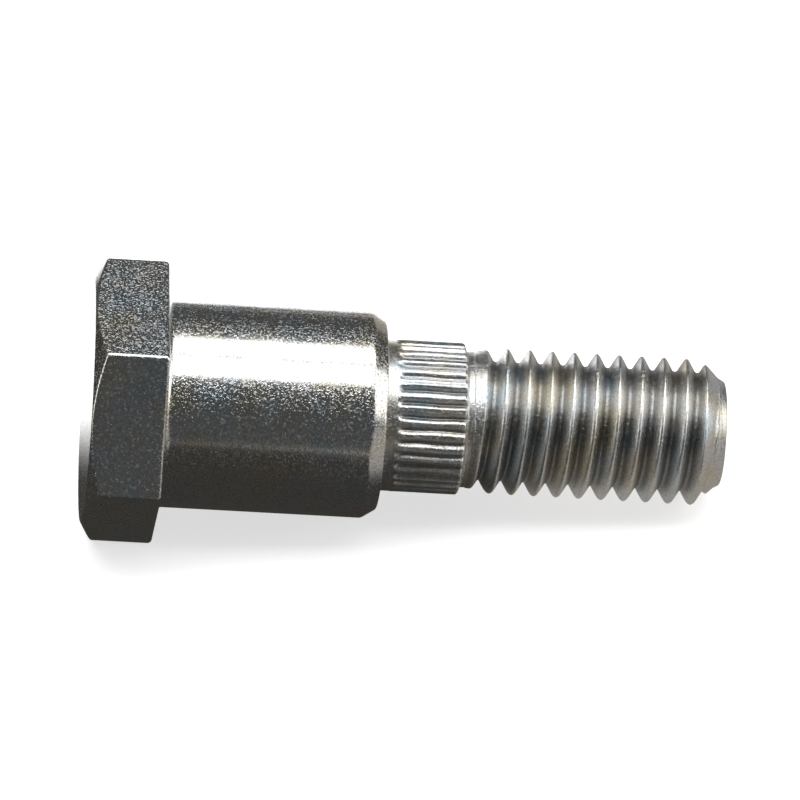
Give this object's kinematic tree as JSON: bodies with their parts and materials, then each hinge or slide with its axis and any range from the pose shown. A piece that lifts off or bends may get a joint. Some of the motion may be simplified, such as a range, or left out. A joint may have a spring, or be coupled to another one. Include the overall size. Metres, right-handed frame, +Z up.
{
  "type": "shoulder bolt",
  "caption": "Zinc-plated hex-head shoulder bolt with a plain cylindrical shoulder, a straight knurl that grips its hole, and a coarse left-hand thread. It lies at rest on its side.",
  "frame": {"origin": "on the floor, under the middle of the bolt's box as it lies at rest", "axes": "+Z up; +X from the head towards the thread's end, with the bolt's own axis tilted 5.56 degrees down from +X; +Y completes the right-handed set, and the bolt's own axis lies in the XZ plane"},
  "size_m": [0.0564, 0.025, 0.0222],
  "materials": {
    "zinc_plate": "bright zinc plate, finely speckled, with faint straw and blue tints"
  },
  "bodies": {
    "root": {"shoulder_bolt": "zinc_plate"}
  },
  "joints": []
}
